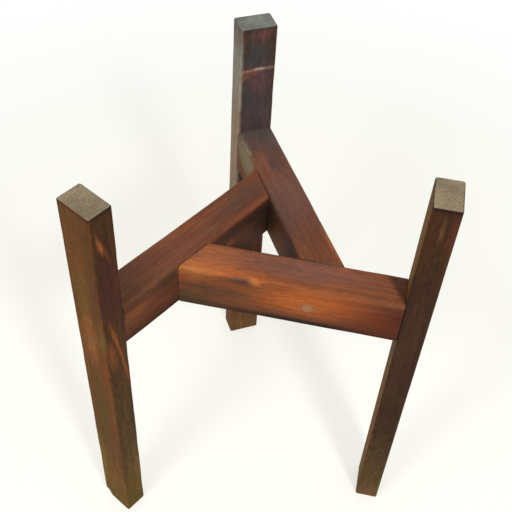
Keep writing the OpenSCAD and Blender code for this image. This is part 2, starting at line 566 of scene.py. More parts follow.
class TimberFigure:
    """The node group that finds rings, fibres, blotches, arrises and end grain of a timber.

    LAYERS holds the stretch and detail of each noise, and CLOUDY those that are given as they are, from
    -1 to 1. The names with RANGE say between which values something fades in.
    """

    LAYERS = {"Blotch": ((7.0, 30.0, 30.0), 3.0), "Mottle": ((16.0, 44.0, 44.0), 3.0),
              "Streak": ((9.0, 210.0, 210.0), 3.0), "Fleck": ((150.0, 480.0, 480.0), 2.0),
              "Fibre": ((50.0, 1300.0, 1300.0), 2.0), "Pore": ((950.0, 950.0, 950.0), 3.0)}
    CLOUDY = ("Blotch", "Streak", "Fleck", "Fibre", "Pore")
    SEED_SHARES = (0.37, 0.71)
    DRIFT = (4.5, 7.0, 7.0)
    PITH_DRIFT = 16 * MM
    COUNT_DRIFT = 0.6
    RIPPLE = (30.0, 160.0, 160.0)
    RIPPLE_HEIGHT = 0.6 * MM
    LATE_WOOD_RANGE = (0.35, 0.9)
    RING_END_RANGE = (0.93, 1.0)
    YEAR_STEP = 3.7
    YEAR_GAIN = 1.4
    YEAR_BASE = -0.1
    MOTTLE_RANGE = (0.44, 0.62)
    ARRIS_WANDER = {"Streak": 0.4, "Blotch": 0.8}
    ARRIS_RANGE = (0.25, 1.3)
    END_RANGE = (0.72, 0.92)

    def __init__(self) -> None:
        """Writes the group."""
        self.tree = tree = bpy.data.node_groups.new("timber figure", "ShaderNodeTree")
        add = tree.interface.new_socket
        for label in ("Place", "Facing", "Pith"):
            add(label, in_out="INPUT", socket_type="NodeSocketVector")
        for label in ("Half Width", "Half Depth", "Ring Gap", "Arris Reach", "Seed"):
            add(label, in_out="INPUT", socket_type="NodeSocketFloat")
        for label in (*self.CLOUDY, "Rings", "Mottle", "Arris", "End"):
            add(label, in_out="OUTPUT", socket_type="NodeSocketFloat")
        inlet, outlet = tree.nodes.new("NodeGroupInput"), tree.nodes.new("NodeGroupOutput")
        get = {s.name: Expr(tree, s) for s in inlet.outputs if s.name}
        shifts = (get["Seed"] * share for share in self.SEED_SHARES)
        place = get["Place"].vector("ADD", join(tree, get["Seed"], *shifts))
        layers = {label: noise(place, *layer) for label, layer in self.LAYERS.items()}
        results = {label: (layers[label] - 0.5) * 2.0 for label in self.CLOUDY}
        results["Mottle"] = layers["Mottle"].step(*self.MOTTLE_RANGE)
        results["Rings"] = self.rings(place, get)
        _, y, z = get["Place"].split()
        edge = (get["Half Width"] - abs(y)).at_least(get["Half Depth"] - abs(z))
        inside = weigh(results, self.ARRIS_WANDER, edge / get["Arris Reach"])
        results["Arris"] = 1.0 - inside.step(*self.ARRIS_RANGE)
        facing_x, _, _ = get["Facing"].split()
        results["End"] = abs(facing_x).step(*self.END_RANGE)
        for label, value in results.items():
            feed(tree, outlet.inputs[label], value)

    def rings(self, place: Expr, get: Mapping[str, Expr]) -> Expr:
        """Finds the late wood of the growth rings.

        Args:
            place: The point, shifted by the timber's seed.
            get: The group's inputs by name.

        Returns:
            How dark the late wood is there.
        """
        x, y, z = get["Place"].split()
        drift = noise(place, self.DRIFT, output=1).vector("SUBTRACT", (0.5, 0.5, 0.5))
        drift_x, drift_y, drift_z = drift.split()
        slope, pith_y, pith_z = get["Pith"].split()
        off_y = y - pith_y + drift_y * self.PITH_DRIFT + x * slope
        off_z = z - pith_z + drift_z * self.PITH_DRIFT
        radius = diagonal(off_y, off_z) + (noise(place, self.RIPPLE) - 0.5) * self.RIPPLE_HEIGHT
        count = radius / get["Ring Gap"] + drift_x * self.COUNT_DRIFT
        late = count.apply("FRACT")
        line = late.step(*self.LATE_WOOD_RANGE) * (1.0 - late.step(*self.RING_END_RANGE))
        year = join(self.tree, count.apply("FLOOR") * self.YEAR_STEP, get["Seed"], 0.0)
        return line * (noise(year, detail=0.0) * self.YEAR_GAIN + self.YEAR_BASE)

    def read(self, tree: bpy.types.NodeTree, values: Mapping[str, object]) -> dict[str, Expr]:
        """Adds the group to a material.

        Args:
            tree: The material's tree.
            values: The group's inputs by name.

        Returns:
            The group's outputs by name.
        """
        group = tree.nodes.new("ShaderNodeGroup")
        group.node_tree = self.tree
        for label, value in values.items():
            feed(tree, group.inputs[label], value)
        return {s.name: Expr(tree, s) for s in group.outputs}


@dataclass(frozen=True)
class Mark:
    """A place where the stain took less or more, such as a knot or a sapwood streak, or a patch of painted
    shade, shadow or sheen.

    RAGGED is the stretch of the noise in its outline. OVERRUN is how far past its reach it fades, as a
    share of its softness.

    Args:
        name: What it is. Its mask is labelled so in the material.
        centre: Its middle along the grain, across and deep, in millimetres in the timber's frame.
        reach: How far it reaches in those directions, in millimetres.
        strength: How much lighter it is, or darker below zero.
        tint: A colour that shows through there, or nothing.
        share: How much of that colour shows.
        softness: Share of its reach over which it fades.
        wobble: How ragged its outline is.
        lean: How far it slides along the grain for each unit across.
    """

    name: str
    centre: Triple
    reach: Triple
    strength: float = 0.0
    tint: str = ""
    share: float = 0.0
    softness: float = 0.95
    wobble: float = 0.4
    lean: float = 0.0
    RAGGED = (90.0, 420.0, 420.0)
    OVERRUN = 0.3

    def mask(self, place: Expr) -> Expr:
        """Finds the mark's own share of each point.

        Args:
            place: The point in the timber's frame.

        Returns:
            1 inside the mark and 0 outside.
        """
        x, y, z = place.vector("SUBTRACT", tuple(part * MM for part in self.centre)).split()
        x = x - (y + z) * self.lean
        away = diagonal(*(part / (reach * MM) for part, reach in zip((x, y, z), self.reach)))
        away = away + (noise(place, self.RAGGED) - 0.5) * (self.wobble * 2.0)
        shown = 1.0 - away.step(1.0 - self.softness, 1.0 + self.softness * self.OVERRUN)
        shown.socket.node.label = self.name
        return shown


@dataclass(frozen=True)
class Knock:
    """A knocked-off corner of a timber.

    Args:
        corner: Its end, 0 or 1, and its signs across and deep.
        push: How far it is pushed along the grain, across and deep.
        reach: How far the damage reaches.
    """

    corner: tuple[int, int, int]
    push: Triple
    reach: float = 12 * MM


@dataclass(frozen=True)
class TimberFace:
    """What sets one timber apart from the others of its kind.

    Args:
        pith: Slope of the pith along the grain, and its place across and deep.
        seed: Where in the noise this timber was cut.
        marks: Its knots and streaks, and its painted shade, shadow and sheen. Later ones lie over earlier
            ones.
        tones: How much lighter the faces towards +Y, -Y, +Z and -Z are: painted light, shade and sheen for
            how the lamps and reflections fall on each face.
        end_shades: Its end grain, if it differs from that of its kind.
        knock: Its knocked-off corner, if it has one.
    """

    pith: Triple
    seed: float
    marks: tuple[Mark, ...]
    # Painted light and shade: how much lighter or darker each whole face is made by which way it looks.
    tones: tuple[float, float, float, float] = (0.0, 0.0, 0.0, 0.0)
    end_shades: tuple[str, ...] = ()
    knock: Knock | None = None


@dataclass(frozen=True, kw_only=True)
class Finish:
    """What the finishes of timbers, plugs and screws share.

    Args:
        slot: Name of its material slot; not used.
        shades: Its colours, from the darkest to the palest.
        roughness: Its mean roughness.
        sheen: Its specular level.
        relief_depth: Depth of its relief.
        relief_strength: How much of that relief is felt.
    """

    slot: str
    shades: tuple[str, ...]
    roughness: float
    sheen: float = 0.5
    relief_depth: float
    relief_strength: float = 0.6

    def dress(self, shader: bpy.types.Node, colour: Expr, gloss: Expr, relief: Expr) -> None:
        """Gives a shader its look.

        Args:
            shader: The shader.
            colour: Its colour.
            gloss: Its roughness.
            relief: Its relief, in shares of the relief's depth.
        """
        normal = run(colour.tree, "ShaderNodeBump", {
            "Strength": self.relief_strength, "Distance": self.relief_depth, "Height": relief})
        for label, value in (("Base Color", colour), ("Roughness", gloss),
                             ("Specular IOR Level", self.sheen), ("Normal", normal)):
            feed(colour.tree, shader.inputs[label], value)


@dataclass(frozen=True, kw_only=True)
class StainedTimber(Finish):
    """Softwood under a coloured satin stain.

    The constants weigh the parts of the figure in the fine texture, in the end grain and in the gloss
    and relief of the surface.

    Args:
        end_shades: The end grain, from its pores to its dry fibres.
        mottle: The colour of its cloudy patches.
        mottle_share: How much of that colour shows in them.
        ring_gap: Distance between growth rings.
        streak: How strong the lengthwise streaks are.
        fibre: How strong the fine fibres are.
        fleck: How strong the short flecks are.
        rubbed: How much lighter the arrises are.
        arris_reach: How far from the corner the arris shows.
        blotch: How strong the broad uneven patches are.
        rings: How dark the late wood is.
    """

    end_shades: tuple[str, ...]
    mottle: str
    mottle_share: float
    ring_gap: float
    streak: float
    fibre: float
    fleck: float
    rubbed: float
    arris_reach: float
    blotch: float = 0.24
    rings: float = 0.06
    roughness: float = 0.58
    sheen: float = 0.16
    relief_depth: float = 0.22 * MM
    MIDDLE_SHADE = 0.5
    END_MIDDLE = 0.58
    END_PORES = 0.9
    TEXTURE = {"Streak": 0.2, "Fibre": 0.2}
    SPECKLE = {"Pore": 0.5, "Fibre": 0.3, "Blotch": 0.7, "Rings": -0.12}
    GLOSS = {"Fibre": 0.07, "Rings": -0.05, "Blotch": 0.05, "End": 0.35}
    RELIEF = {"Fibre": 0.35, "Streak": 0.3, "Rings": 0.4}

    def material(self, name: str, place: Matrix, half: tuple[float, float], face: TimberFace,
                 figure: TimberFigure) -> bpy.types.Material:
        """Makes the finish of one timber.

        Args:
            name: The material's name.
            place: Where the timber's frame lies in the stand.
            half: Half of its width and half of its depth.
            face: What sets this timber apart.
            figure: The shared node group.

        Returns:
            The material.
        """
        material, tree, shader = new_material(name)
        spot, facing = local(tree, "Object", place), local(tree, "Normal", place)
        grain = figure.read(tree, {
            "Place": spot, "Facing": facing, "Pith": face.pith, "Half Width": half[0], "Half Depth": half[1],
            "Ring Gap": self.ring_gap, "Arris Reach": self.arris_reach, "Seed": face.seed})
        end = ramp(weigh(grain, self.SPECKLE, self.END_MIDDLE), face.end_shades or self.end_shades)
        colour = blend(grain["End"], self.side(grain, spot, facing, face), end)
        relief = weigh(grain, self.RELIEF, grain["End"] * grain["Pore"] * self.END_PORES)
        self.dress(shader, colour, weigh(grain, self.GLOSS, self.roughness), relief)
        return material

    def side(self, grain: Mapping[str, Expr], spot: Expr, facing: Expr, face: TimberFace) -> Expr:
        """Colours the long faces.

        Args:
            grain: The parts of the timber's figure.
            spot: The point in the timber's frame.
            facing: Where the face looks in that frame.
            face: What sets this timber apart.

        Returns:
            The colour.
        """
        weights = {"Blotch": self.blotch, "Streak": self.streak, "Rings": -self.rings, "Fibre": self.fibre,
                   "Arris": self.rubbed}
        depth = weigh(grain, weights, self.MIDDLE_SHADE)
        _, facing_y, facing_z = facing.split()
        # Painted light, shade and sheen: each face is made lighter or darker by which way it looks.
        for part, painted_tone in zip((facing_y, -facing_y, facing_z, -facing_z), face.tones):
            if painted_tone:
                depth = depth + part.at_least(0.0) * painted_tone
        masks = [(mark, mark.mask(spot)) for mark in face.marks]
        for mark, mask in masks:
            if mark.strength:
                depth = depth + mask * mark.strength
        colour = blend(grain["Mottle"] * self.mottle_share, ramp(depth, self.shades), linear(self.mottle))
        for mark, mask in masks:
            if mark.tint:
                colour = blend(mask * mark.share, colour, linear(mark.tint))
        texture = weigh(grain, {"Fleck": self.fleck, **self.TEXTURE}, 1.0)
        return colour.vector("MULTIPLY", join(spot.tree, texture, texture, texture))


@dataclass(frozen=True, kw_only=True)
class PlugWood(Finish):
    """Pale dowel under the same stain, sanded flush.

    The constants hold the stretch of its fibre lines and clouds, and weigh them in its look.

    Args:
        rim: Distances from its middle between which the joint line darkens it.
    """

    slot: str = "filled_plug"
    roughness: float = 0.5
    sheen: float = 0.25
    relief_depth: float = 0.2 * MM
    rim: tuple[float, float] = (3.8 * MM, 5.2 * MM)
    LINES = (140.0, 1500.0, 260.0)
    CLOUD = (180.0, 180.0, 180.0)
    MIDDLE_SHADE = 0.6
    SHADE = {"lines": 0.8, "cloud": 0.7, "rim": -0.3}
    GLOSS = {"lines": 0.2}
    CLOUD_RELIEF = 0.5

    def material(self, name: str, place: Matrix) -> bpy.types.Material:
        """Makes the finish of one plug.

        Args:
            name: The material's name.
            place: Where the plug's frame lies in the stand.

        Returns:
            The material.
        """
        material, tree, shader = new_material(name)
        spot = local(tree, "Object", place)
        lines, cloud = noise(spot, self.LINES, detail=3.0) - 0.5, noise(spot, self.CLOUD) - 0.5
        x, y, _ = spot.split()
        parts = {"lines": lines, "cloud": cloud, "rim": diagonal(x, y).step(*self.rim)}
        colour = ramp(weigh(parts, self.SHADE, self.MIDDLE_SHADE), self.shades)
        gloss = weigh(parts, self.GLOSS, self.roughness)
        self.dress(shader, colour, gloss, lines + cloud * self.CLOUD_RELIEF)
        return material


@dataclass(frozen=True, kw_only=True)
class ZincSteel(Finish):
    """Zinc plated screw steel, brushed by the tools that made it.

    The constants hold the stretch of its clouds and its fine marks, and weigh them in its look.
    """

    slot: str = "screw_steel"
    shades: tuple[str, ...] = ("#9a958a", "#c3bfb2", "#dcd9cf")
    roughness: float = 0.34
    relief_depth: float = 0.05 * MM
    relief_strength: float = 0.4
    CLOUD = (420.0, 420.0, 420.0)
    FINE = (3200.0, 3200.0, 3200.0)
    MIDDLE_SHADE = 0.5
    SHADE = {"cloud": 1.2, "fine": 0.4}
    GLOSS = {"cloud": 0.25, "fine": 0.1}

    def material(self, name: str) -> bpy.types.Material:
        """Makes the finish that all screws share.

        Args:
            name: The material's name.

        Returns:
            The material.
        """
        material, tree, shader = new_material(name)
        spot = run(tree, "ShaderNodeTexCoord", output="Object")
        parts = {"cloud": noise(spot, self.CLOUD, detail=4.0) - 0.5, "fine": noise(spot, self.FINE) - 0.5}
        colour = ramp(weigh(parts, self.SHADE, self.MIDDLE_SHADE), self.shades)
        self.dress(shader, colour, weigh(parts, self.GLOSS, self.roughness), parts["fine"])
        shader.inputs["Metallic"].default_value = 1.0
        return material


@dataclass(frozen=True)
class PaleFloor:
    """Pale floor that runs out into the white of the studio.

    Args:
        shades: The floor's slight unevenness.
        fade: Distances between which it turns into plain white.
        glow: Colour that the camera sees on top of the lit floor.
        lift: How much of it.
        roughness: Mean roughness of the floor.
    """

    shades: tuple[str, str] = ("#b6b8b4", "#bcbeb9")
    fade: tuple[float, float] = (0.45, 1.1)
    glow: str = "#fffdf4"
    lift: float = 0.58
    roughness: float = 0.55
    CLOUD = (3.0, 3.0, 3.0)
    CLOUD_ROUGHNESS = 0.1

    def material(self, name: str) -> bpy.types.Material:
        """Makes the finish of the floor.

        Args:
            name: The material's name.

        Returns:
            The material.
        """
        material, tree, shader = new_material(name)
        spot = run(tree, "ShaderNodeTexCoord", output="Object")
        cloud = noise(spot, self.CLOUD, detail=3.0)
        feed(tree, shader.inputs["Base Color"], ramp(cloud, self.shades))
        feed(tree, shader.inputs["Roughness"], (cloud - 0.5) * self.CLOUD_ROUGHNESS + self.roughness)
        away = spot.vector("LENGTH", (0.0, 0.0, 0.0)).step(*self.fade)
        seen = run(tree, "ShaderNodeLightPath", output="Is Camera Ray")
        white, lifted, added, faded = (tree.nodes.new(kind) for kind in (
            "ShaderNodeEmission", "ShaderNodeEmission", "ShaderNodeAddShader", "ShaderNodeMixShader"))
        feed(tree, lifted.inputs["Color"], linear(self.glow))
        feed(tree, lifted.inputs["Strength"], seen * self.lift)
        feed(tree, faded.inputs[0], away * seen)
        surface = tree.nodes["Material Output"].inputs["Surface"]
        for source, target in ((shader, added.inputs[0]), (lifted, added.inputs[1]),
                               (added, faded.inputs[1]), (white, faded.inputs[2]), (faded, surface)):
            tree.links.new(source.outputs[0], target)
        return material


def new_material(name: str) -> tuple[bpy.types.Material, bpy.types.NodeTree, bpy.types.Node]:
    """Makes a material with its usual shader.

    Args:
        name: The material's name.

    Returns:
        The material, its tree and its Principled shader.
    """
    material = bpy.data.materials.new(name)
    material.use_nodes = True
    return material, material.node_tree, material.node_tree.nodes["Principled BSDF"]


def local(tree: bpy.types.NodeTree, output: str, place: Matrix) -> Expr:
    """Reads a coordinate in a piece's own frame.

    Args:
        tree: The material's tree.
        output: "Object" for the point, or "Normal" for where the face looks.
        place: Where the piece's frame lies in the stand.

    Returns:
        The coordinate.
    """
    back = place.inverted()
    kind = "VECTOR" if output == "Normal" else "POINT"
    inputs = {"Vector": run(tree, "ShaderNodeTexCoord", output=output), "Rotation": tuple(back.to_euler())}
    if kind == "POINT":
        inputs["Location"] = tuple(back.translation)
    return run(tree, "ShaderNodeMapping", inputs, {"vector_type": kind})


def ramp(share: Expr, shades: Sequence[str]) -> Expr:
    """Turns a share into a colour.

    Args:
        share: 0 for the first shade and 1 for the last.
        shades: The shades, spaced evenly.

    Returns:
        The colour.
    """
    node = share.tree.nodes.new("ShaderNodeValToRGB")
    stops = node.color_ramp.elements
    while len(stops) < len(shades):
        stops.new(0.5)
    # A stop that moves can change places with others, so the colours come last.
    for i in range(len(shades)):
        stops[i].position = i / (len(shades) - 1)
    for stop, shade in zip(stops, shades):
        stop.color = linear(shade)
    feed(share.tree, node.inputs[0], share)
    return Expr(share.tree, node.outputs[0])


# ---- Places in the stand ----


class Arm(Enum):
    """The three arms, with the turn of each round the upright axis in degrees."""

    RIGHT = 0
    BACK = 120
    LEFT = 240

    @property
    def label(self) -> str:
        """The arm's name in node names."""
        return self.name.lower()

    @property
    def turn(self) -> Matrix:
        """Turn from the arm's frame to the stand's."""
        return Matrix.Rotation(math.radians(self.value), 4, "Z")

    @property
    def before(self) -> "Arm":
        """The arm whose side screw runs into this arm's rail."""
        arms = list(Arm)
        return arms[arms.index(self) - 1]


@dataclass(frozen=True)
class Extent:
    """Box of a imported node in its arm's frame.

    Args:
        low: Lowest corner.
        high: Highest corner.
    """

    low: Vector
    high: Vector

    @classmethod
    def of(cls, node: str, arm: Arm) -> "Extent":
        """Measures a node.

        Args:
            node: The node's name.
            arm: The arm that it belongs to.

        Returns:
            Its box.
        """
        back = arm.turn.inverted()
        points = [back @ vertex.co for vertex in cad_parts[node].data.vertices]
        return cls(*(Vector([pick(p[i] for p in points) for i in range(3)]) for pick in (min, max)))

    @property
    def middle(self) -> Vector:
        """Middle of the box."""
        return (self.low + self.high) / 2

    @property
    def size(self) -> Vector:
        """Size of the box."""
        return self.high - self.low


class Heading(Enum):
    """Which way a screw's head looks in its arm's frame."""

    OUTWARDS = (1.0, 0.0, 0.0)
    SIDEWAYS = (0.0, -1.0, 0.0)


def frame_at(origin: Vector, x: Vector, y: Vector, z: Vector) -> Matrix:
    """Makes a frame.

    Args:
        origin: Where it lies.
        x: Its X axis.
        y: Its Y axis.
        z: Its Z axis.

    Returns:
        The frame.
    """
    matrix = Matrix((x, y, z)).transposed().to_4x4()
    matrix.translation = origin
    return matrix


# ---- Sub-assemblies ----


@dataclass
class Fastening:
    """A countersunk wood screw with the plug over it.

    ARC_MIDDLE is how far the middle point of a small round lies from its corner, as a share of the round.
    DISH holds the points of the plug's dished top, as shares of its radius with their depths.

    Args:
        arm: The arm that it belongs to.
        place: What follows the arm in its nodes' names, such as "upper", or nothing.
        heading: Which way its head looks.
        through: Thickness of the first timber, which it clamps to the second.
        head_rim: Height of the head's straight rim.
        head_ease: Bevel at the head's upper edge.
        shank_radius: Radius of the plain shank.
        root_radius: Radius at the root of the thread.
        thread_radius: Radius over the thread.
        thread_length: Length of the thread with the point.
        thread_pitch: Distance between its ridges.
        thread_steps: Steps of its mesh for each ridge.
        point_length: Length of the tapered point.
        point_share: Radius halfway down the point, as a share of the thread's root.
        drive_width: Width across the cross recess.
        drive_slot: Width of each of its slots.
        drive_depth: Depth of the recess.
        drive_tapers: Shares of the slot's and the recess's widths that are left at the bottom.
        screw_clearance: Gap round the screw in the first timber.
        screw_sides: Sides of the screw's mesh.
        plug_clearance: Gap round the plug.
        plug_bevel: Bevel at the plug's inner end.
        plug_ease: Round that sanding leaves at its outer end.
        plug_sides: Sides of the plug's mesh.
        overrun: How far a cutter reaches past the wood that it cuts.
    """

    arm: Arm
    place: str
    heading: Heading
    through: float
    head_rim: float = 0.6 * MM
    head_ease: float = 0.1 * MM
    shank_radius: float = 1.9 * MM
    root_radius: float = 1.7 * MM
    thread_radius: float = 2.5 * MM
    thread_length: float = 36 * MM
    thread_pitch: float = 2.5 * MM
    thread_steps: int = 7
    point_length: float = 5 * MM
    point_share: float = 0.55
    drive_width: float = 4.6 * MM
    drive_slot: float = 1.2 * MM
    drive_depth: float = 2 * MM
    drive_tapers: tuple[float, float] = (0.72, 0.6)
    screw_clearance: float = 0.25 * MM
    screw_sides: int = 24
    plug_clearance: float = 0.05 * MM
    plug_bevel: float = 0.6 * MM
    plug_ease: float = 0.15 * MM
    plug_sides: int = 48
    overrun: float = 1 * MM
    ARC_MIDDLE = 0.3
    DISH = ((0.8, 0.02 * MM), (0.5, 0.05 * MM), (0.25, 0.06 * MM), (0.0, 0.06 * MM))

    def __post_init__(self) -> None:
        """Takes the screw's and the plug's places and main sizes from their nodes."""
        kind = "side" if self.heading is Heading.SIDEWAYS else "leg"
        tail = f"_{self.place}" if self.place else ""
        self.screw_node = f"{kind}_screw_{self.arm.label}{tail}"
        self.plug_node = f"{kind}_plug_{self.arm.label}{tail}"
        screw, plug = Extent.of(self.screw_node, self.arm), Extent.of(self.plug_node, self.arm)
        out = Vector(self.heading.value)
        axis = [abs(part) for part in out].index(1.0)
        self.length = screw.size[axis]
        self.head_radius = screw.size[2] / 2
        self.plug_length = plug.size[axis]
        self.plug_radius = plug.size[2] / 2
        self.first_cover = self.through - self.plug_length
        top = screw.middle + out * (self.length / 2)
        self.frame = self.arm.turn @ frame_at(top, UP.cross(out), out.cross(UP.cross(out)), out)

    def screw(self, turned: TurnedTree, steel: bpy.types.Material) -> bpy.types.Object:
        """Builds the screw with its helical thread and its cross recess.

        Args:
            turned: The rules of turned pieces.
            steel: The screw's finish.

        Returns:
            The finished screw.
        """
        thread_top = -(self.length - self.thread_length)
        point_top = -(self.length - self.point_length)
        cone = self.head_radius - self.shank_radius
        outline = [
            (0.0, 0.0), (self.head_radius / 2, 0.0), (self.head_radius - self.head_ease, 0.0),
            (self.head_radius, -self.head_ease), (self.head_radius, -self.head_rim),
            (self.shank_radius, -self.head_rim - cone), (self.shank_radius, thread_top + self.thread_pitch)]
        steps = round((thread_top - point_top) / self.thread_pitch * self.thread_steps)
        outline += [(self.root_radius, thread_top + (point_top - thread_top) * i / steps)
                    for i in range(steps + 1)]
        outline += [(self.root_radius * self.point_share, point_top - self.point_length / 2),
                    (0.0, -self.length)]
        mesh = turned.turn(self.screw_node, outline, {
            "Sides": self.screw_sides, "Thread Top": thread_top, "Thread End": point_top,
            "Thread Pitch": self.thread_pitch, "Thread Height": self.thread_radius - self.root_radius,
            "Material": steel}, self.frame)
        mesh = cut(mesh, [self.drive_cutter()])
        return add_piece("threaded_" + self.screw_node, mesh, self.screw_node)

    def drive_cutter(self) -> bpy.types.Mesh:
        """Builds the tapered cross that is punched into the head.

        Returns:
            Its mesh, in its place.
        """
        work = bmesh.new()
        slot, arm = self.drive_slot / 2, self.drive_width / 2
        slot_taper, arm_taper = self.drive_tapers
        rings = []
        for height, side, end in ((self.overrun, slot, arm),
                                  (-self.drive_depth, slot * slot_taper, arm * arm_taper)):
            corners = []
            for quarter in range(4):
                turn = Matrix.Rotation(quarter * math.pi / 2, 3, "Z")
                corners += [turn @ Vector((x, y, height))
                            for x, y in ((side, side), (end, side), (end, -side))]
            order = sorted(corners, key=lambda p: math.atan2(p.y, p.x))
            rings.append([work.verts.new(p) for p in order])
        top, bottom = rings
        work.faces.new(top)
        work.faces.new(reversed(bottom))
        for i in range(len(top)):
            j = (i + 1) % len(top)
            work.faces.new((top[i], bottom[i], bottom[j], top[j]))
        bmesh.ops.recalc_face_normals(work, faces=work.faces)
        mesh = bpy.data.meshes.new("drive recess")
        work.to_mesh(mesh)
        work.free()
        mesh.transform(self.frame)
        return mesh

    def plug(self, turned: TurnedTree, wood: PlugWood) -> bpy.types.Object:
        """Builds the plug, a touch dished where it was sanded.

        Args:
            turned: The rules of turned pieces.
            wood: The plug's finish.

        Returns:
            The finished plug.
        """
        r, top, ease = self.plug_radius, self.plug_length, self.plug_ease
        round_in = ease * self.ARC_MIDDLE
        outline = [(0.0, 0.0), (r - self.plug_bevel, 0.0), (r, self.plug_bevel), (r, top / 2),
                   (r, top - ease), (r - round_in, top - round_in), (r - ease, top)]
        outline += [(r * share, top - depth) for share, depth in self.DISH]
        finish = wood.material(self.plug_node + " wood", self.frame)
        values = {"Sides": self.plug_sides, "Material": finish}
        mesh = turned.turn(self.plug_node, outline, values, self.frame)
        return add_piece("sanded_" + self.plug_node, mesh, self.plug_node)

    def way(self, turned: TurnedTree) -> bpy.types.Mesh:
        """Builds what is bored from the first timber: counterbore, countersink and clear hole.

        Args:
            turned: The rules of turned pieces.

        Returns:
            The cutter's mesh, in its place.
        """
        wide, clear = self.plug_radius + self.plug_clearance, self.thread_radius + self.screw_clearance
        top, bottom = self.plug_length + self.overrun, -(self.first_cover + self.overrun)
        outline = [(0.0, top), (wide, top), (wide, 0.0), (self.head_radius, 0.0),
                   (self.head_radius, -self.head_rim), (clear, -(self.head_rim + self.head_radius - clear)),
                   (clear, bottom), (0.0, bottom)]
        return turned.turn("screw way", outline, {"Sides": self.plug_sides}, self.frame)

    def pilot(self, turned: TurnedTree) -> bpy.types.Mesh:
        """Builds what the thread takes from the second timber.

        Args:
            turned: The rules of turned pieces.

        Returns:
            The cutter's mesh, in its place.
        """
        start, r = -(self.first_cover - self.overrun), self.thread_radius
        outline = [(0.0, start), (r, start), (r, -(self.length - self.point_length)), (0.0, -self.length)]
        return turned.turn("thread hole", outline, {"Sides": self.screw_sides}, self.frame)


@dataclass
class Timber(ABC):
    """A length of planed timber in the stand. SEED_SPREAD sets the seeds of the shapes well apart.

    Args:
        node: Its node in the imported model.
        arm: The arm that it belongs to.
        finish: Its stain.
        face: What sets it apart.
        arris_radius: Radius of its eased long edges.
        end_radius: Radius of its eased ends.
        cell_long: Length of a face of its mesh along the grain.
        cell_across: Width of a face across the grain.
        undulation: How far its planed faces dip.
        arris_wander: How much wider its arrises are in places, as a share.
    """

    node: str
    arm: Arm
    finish: StainedTimber
    face: TimberFace
    arris_radius: float
    end_radius: float
    cell_long: float = 2.5 * MM
    cell_across: float = 1.5 * MM
    undulation: float = 0.15 * MM
    arris_wander: float = 0.45
    SEED_SPREAD = 7.0

    def __post_init__(self) -> None:
        """Measures the timber's node."""
        self.extent = Extent.of(self.node, self.arm)

    @abstractmethod
    def sizes(self) -> tuple[float, float, float, float]:
        """Length, width, depth and slant of the timber."""

    @abstractmethod
    def place(self) -> Matrix:
        """Where the timber's frame lies in the stand."""

    @staticmethod
    def cells(size: float, cell: float, radius: float) -> int:
        """Even number of mesh cells that a size takes, with those of its eased edges."""
        return 2 * max(2, round((size - 2 * radius) / cell / 2)) + 2 * TimberTree.ARC_CELLS

    def build(self, tree: TimberTree, figure: TimberFigure,
              cutters: Sequence[bpy.types.Mesh]) -> bpy.types.Object:
        """Builds the timber with its bores and its finish.

        Args:
            tree: The rules of planed timber.
            figure: The shared node group of the finish.
            cutters: What is bored from it.

        Returns:
            The finished piece.
        """
        length, width, depth, slant = self.sizes()
        place = self.place()
        stain = self.finish.material(self.node + " stain", place, (width / 2, depth / 2), self.face, figure)
        values = {
            "Length": length, "Width": width, "Depth": depth, "Slant": slant,
            "Arris Radius": self.arris_radius, "End Radius": self.end_radius,
            "Cells Along": self.cells(length, self.cell_long, self.end_radius),
            "Cells Across": self.cells(width, self.cell_across, self.arris_radius),
            "Cells Deep": self.cells(depth, self.cell_across, self.arris_radius),
            "Arris Wander": self.arris_wander, "Undulation": self.undulation,
            "Seed": self.face.seed * self.SEED_SPREAD, "Material": stain}
        if self.face.knock:
            end, across, deep = self.face.knock.corner
            values["Worn Corner"] = (length * end, across * width / 2, deep * depth / 2)
            values["Worn Push"] = self.face.knock.push
            values["Worn Reach"] = self.face.knock.reach
        mesh = tree.grow(self.node, values)
        mesh.transform(place)
        clean(mesh)
        return add_piece("planed_" + self.node, cut(mesh, cutters), self.node)


@dataclass
class Rail(Timber):
    """A rail, with a slanted end at the gap and a square end at its leg."""

    arris_radius: float = 4 * MM
    end_radius: float = 0.5 * MM
    undulation: float = 0.2 * MM
    arris_wander: float = 0.2

    def __post_init__(self) -> None:
        """Measures the rail's node and its slanted end."""
        super().__post_init__()
        corner = math.pi - math.tau / len(Arm)
        self.slant = self.extent.size.y / math.tan(corner)

    def sizes(self) -> tuple[float, float, float, float]:
        """Length of its gap side, width, depth and how much longer its other side is."""
        return self.extent.size.x - self.slant, self.extent.size.y, self.extent.size.z, self.slant

    def place(self) -> Matrix:
        """The rail's frame starts at the corner of the gap and keeps the arm's directions."""
        start = Vector((self.extent.low.x + self.slant, self.extent.middle.y, self.extent.middle.z))
        return self.arm.turn @ Matrix.Translation(start)


@dataclass
class Leg(Timber):
    """An upright leg, whose frame has X up, Y towards the gap side and Z towards the rail.

    TOP_RIM is the dark edge that the stain leaves round the end grain. Its centre becomes the leg's top.
    """

    arris_radius: float = 2 * MM
    end_radius: float = 1.6 * MM
    TOP_RIM = Mark("dark rim of the top", (0, 0, 0), (4.5, 60, 60), -0.3, softness=0.8, wobble=0.3)

    def __post_init__(self) -> None:
        """Measures the leg's node and puts the rim at its top."""
        super().__post_init__()
        rim = replace(self.TOP_RIM, centre=(self.extent.size.z / MM, 0, 0))
        self.face = replace(self.face, marks=(*self.face.marks, rim))

    def sizes(self) -> tuple[float, float, float, float]:
        """Height, width across the rail and thickness along it."""
        return self.extent.size.z, self.extent.size.y, self.extent.size.x, 0.0

    def place(self) -> Matrix:
        """The leg's frame starts on the floor."""
        foot = Vector((self.extent.middle.x, self.extent.middle.y, self.extent.low.z))
        return self.arm.turn @ frame_at(foot, UP, Vector((0.0, 1.0, 0.0)), Vector((-1.0, 0.0, 0.0)))


